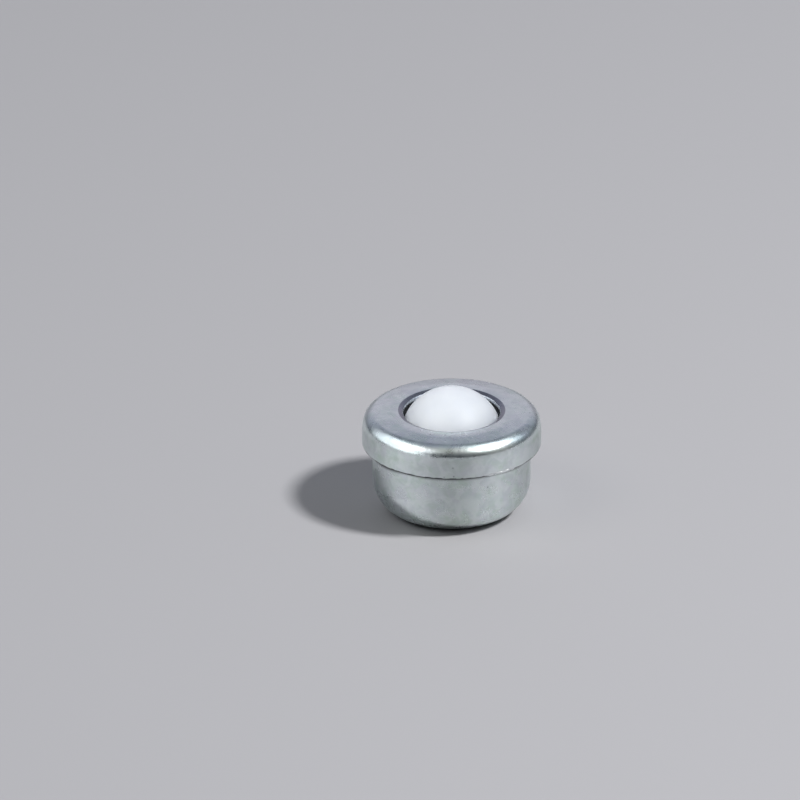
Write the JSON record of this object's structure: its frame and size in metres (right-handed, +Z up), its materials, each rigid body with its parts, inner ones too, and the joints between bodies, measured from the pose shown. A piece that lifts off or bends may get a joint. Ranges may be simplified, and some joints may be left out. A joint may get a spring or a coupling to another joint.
{
  "type": "ball castor",
  "caption": "Miniature drop-in ball castor: a white plastic ball that rolls on small steel balls in a drawn steel cup under a pressed steel cap.",
  "frame": {"origin": "middle of the cup's base, on the surface that it stands on", "axes": "+Z up along the castor's axis, from the base to the main ball; X and Y are free, because the castor is round"},
  "size_m": [0.014, 0.014, 0.01],
  "materials": {
    "cup_zinc": "zinc plated, satin",
    "cap_zinc": "zinc plated, satin",
    "race_steel": "hardened, smooth",
    "bead_steel": "polished",
    "ball_plastic": "smooth, white"
  },
  "bodies": {
    "housing": {"cup": "cup_zinc", "race": "race_steel", "cap": "cap_zinc"},
    "ball_layer": {"bearing_ball_01": "bead_steel", "bearing_ball_02": "bead_steel", "bearing_ball_03": "bead_steel", "bearing_ball_04": "bead_steel", "bearing_ball_05": "bead_steel", "bearing_ball_06": "bead_steel", "bearing_ball_07": "bead_steel", "bearing_ball_08": "bead_steel", "bearing_ball_09": "bead_steel", "bearing_ball_10": "bead_steel", "bearing_ball_11": "bead_steel", "bearing_ball_12": "bead_steel", "bearing_ball_13": "bead_steel", "bearing_ball_14": "bead_steel", "bearing_ball_15": "bead_steel", "bearing_ball_16": "bead_steel", "bearing_ball_17": "bead_steel", "bearing_ball_18": "bead_steel", "bearing_ball_19": "bead_steel", "bearing_ball_20": "bead_steel", "bearing_ball_21": "bead_steel", "bearing_ball_22": "bead_steel", "bearing_ball_23": "bead_steel", "bearing_ball_24": "bead_steel", "bearing_ball_25": "bead_steel", "bearing_ball_26": "bead_steel", "bearing_ball_27": "bead_steel", "bearing_ball_28": "bead_steel", "bearing_ball_29": "bead_steel", "bearing_ball_30": "bead_steel", "bearing_ball_31": "bead_steel", "bearing_ball_32": "bead_steel", "bearing_ball_33": "bead_steel", "bearing_ball_34": "bead_steel", "bearing_ball_35": "bead_steel", "bearing_ball_36": "bead_steel"},
    "main_ball": {"main_ball": "ball_plastic"}
  },
  "joints": [
    {"name": "ball_swivel", "type": "hinge", "parent": "housing", "child": "ball_layer", "pos_m": [0, 0, 0.006], "axis": [0, 0, 1], "continuous": true},
    {"name": "ball_roll", "type": "hinge", "parent": "ball_layer", "child": "main_ball", "pos_m": [0, 0, 0.006], "axis": [1, 0, 0], "continuous": true}
  ]
}
